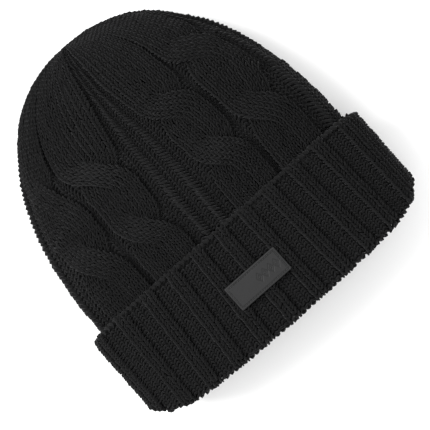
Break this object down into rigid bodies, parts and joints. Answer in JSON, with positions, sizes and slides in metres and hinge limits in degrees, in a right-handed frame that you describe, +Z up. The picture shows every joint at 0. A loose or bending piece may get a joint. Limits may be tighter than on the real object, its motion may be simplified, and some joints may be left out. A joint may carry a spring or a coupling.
{
  "type": "knit beanie",
  "caption": "Cable-knit beanie with a turned-up ribbed cuff, a small sewn label patch and a fleece headband inside.",
  "frame": {"origin": "under the middle of the hat, on the surface that it lies on", "axes": "hat lying on its back: +X across the hat, +Y from the mouth towards the gathered crown, +Z up through the label side"},
  "size_m": [0.23, 0.231, 0.059],
  "materials": {
    "knit_yarn": "matte chunky knit",
    "fleece": "brushed fleece",
    "label": "semi-matte embossed",
    "thread": "sewing thread",
    "woven_tape": "woven satin tape"
  },
  "bodies": {
    "hat": {"knit_body": "knit_yarn", "fleece_band": "fleece", "back_seam": "knit_yarn", "gather_yarn": "knit_yarn", "band_stitches_lower": "thread", "band_stitches_upper": "thread", "care_label_stitches": "thread"},
    "turned_cuff": {"cuff": "knit_yarn", "label_patch": "label", "label_stitches": "thread", "yarn_end": "knit_yarn"},
    "care_flap": {"care_label": "woven_tape"}
  },
  "joints": [
    {"name": "cuff_slide", "type": "slide", "parent": "hat", "child": "turned_cuff", "axis": [0, -1, 0], "range_m": [0, 0.07]},
    {"name": "care_flap_hinge", "type": "hinge", "parent": "hat", "child": "care_flap", "pos_m": [0, -0.0894, 0.013], "axis": [1, 0, 0], "range_deg": [0, 150]}
  ]
}
